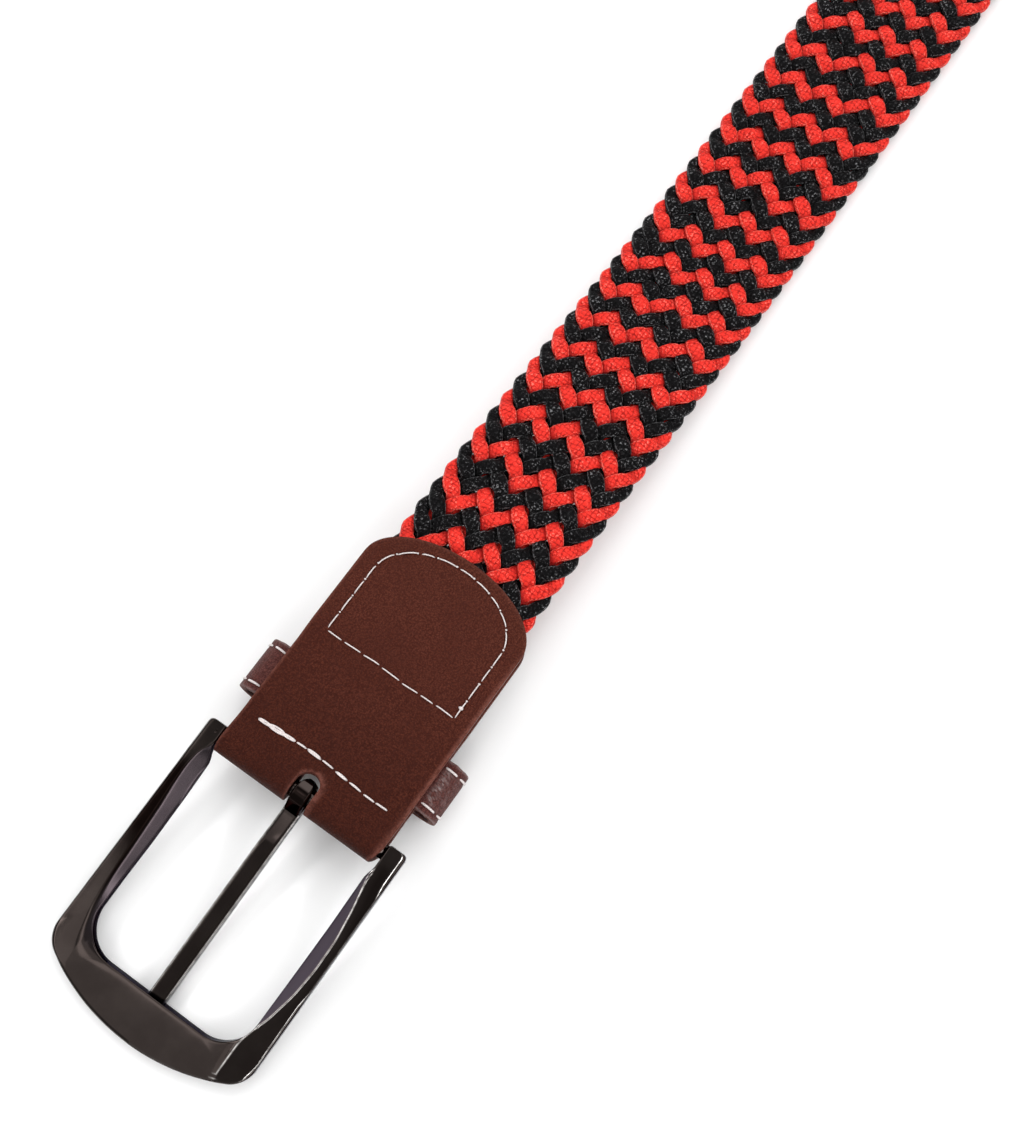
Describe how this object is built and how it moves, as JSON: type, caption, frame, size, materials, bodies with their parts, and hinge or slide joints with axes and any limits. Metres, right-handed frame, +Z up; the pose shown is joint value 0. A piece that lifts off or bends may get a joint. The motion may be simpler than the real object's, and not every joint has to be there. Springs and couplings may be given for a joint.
{
  "type": "braided belt",
  "caption": "Elastic braided belt with a prong buckle, a folded leather tab, a keeper loop and a leather tip, lying straight with its back side up.",
  "frame": {"origin": "on the ground under the middle of the belt's length and width", "axes": "+X along the belt from the buckle to the tip, +Y across it, +Z up out of the belt's back side"},
  "size_m": [1.0501, 0.0432, 0.0113],
  "materials": {
    "black_nickel": "polished black nickel",
    "brown_leather": "satin, fine grain",
    "braid_red": "braided polyester cord",
    "braid_black": "braided polyester cord",
    "white_thread": "waxed sewing thread"
  },
  "bodies": {
    "strap": {"leather_tab": "brown_leather", "keeper_loop": "brown_leather", "braid_band": "braid_red", "leather_tip": "brown_leather"},
    "buckle": {"buckle_frame": "black_nickel"},
    "tongue": {"prong": "black_nickel"}
  },
  "joints": [
    {"name": "frame_swing", "type": "hinge", "parent": "strap", "child": "buckle", "pos_m": [-0.47353, 0, 0.0083], "axis": [0, 1, 0], "range_deg": [-25, 130]},
    {"name": "prong_swing", "type": "hinge", "parent": "buckle", "child": "tongue", "pos_m": [-0.47353, 0, 0.0083], "axis": [0, 1, 0], "range_deg": [-70, 0]}
  ]
}
